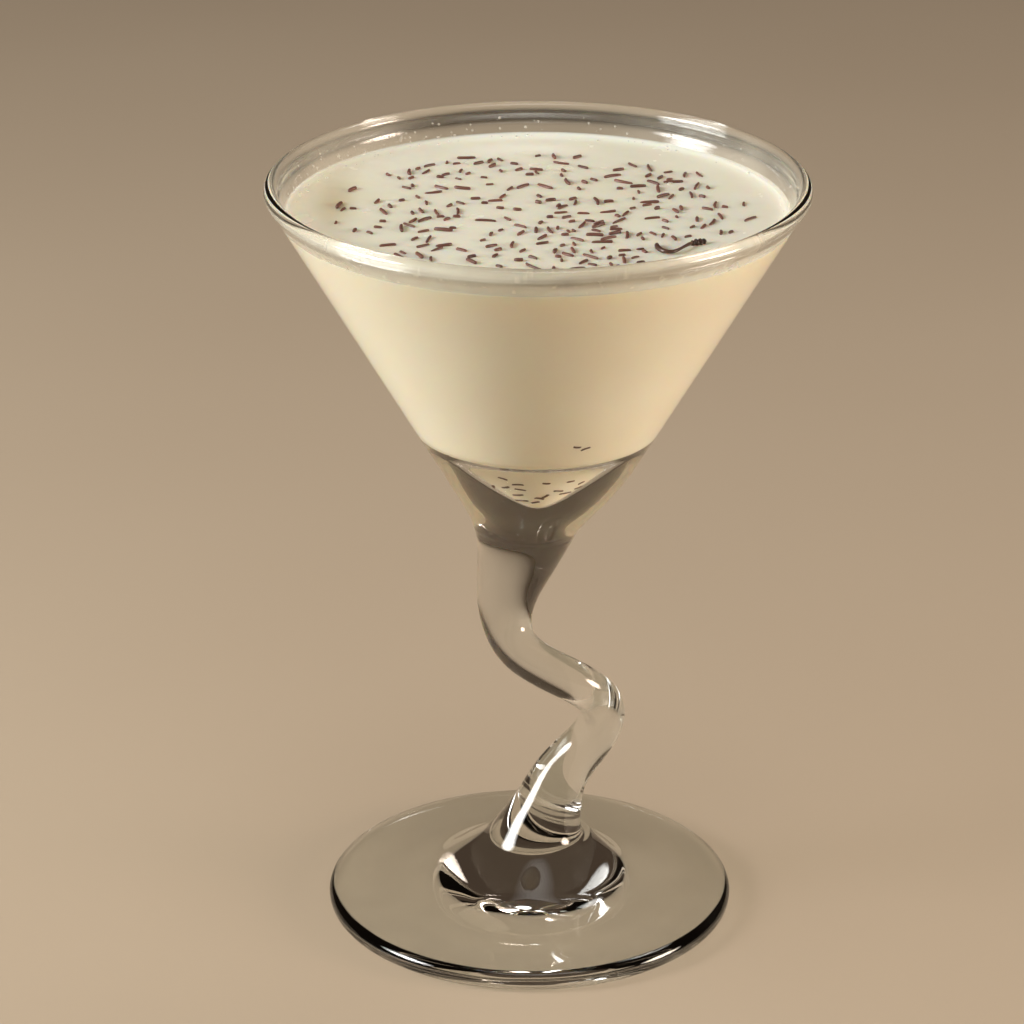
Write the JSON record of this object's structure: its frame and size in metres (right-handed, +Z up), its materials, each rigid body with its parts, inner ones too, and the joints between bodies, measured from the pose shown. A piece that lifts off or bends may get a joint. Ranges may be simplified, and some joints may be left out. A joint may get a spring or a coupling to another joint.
{
  "type": "cream cocktail in a stemmed glass",
  "caption": "V-shaped cocktail glass on a corkscrew stem and round foot, filled nearly to the lip with an opaque cream drink strewn with chocolate sprinkles.",
  "frame": {"origin": "on the bowl's axis, at the height that the foot stands on", "axes": "+Z up along the bowl's axis, +X to the viewer's right, -Y towards the viewer"},
  "size_m": [0.114, 0.114, 0.1675],
  "materials": {
    "clear_glass": "polished, clear",
    "cream_drink": "smooth wet cream liquid",
    "chocolate": "dull dark chocolate"
  },
  "bodies": {
    "root": {"glass": "clear_glass", "drink": "cream_drink"}
  },
  "joints": []
}
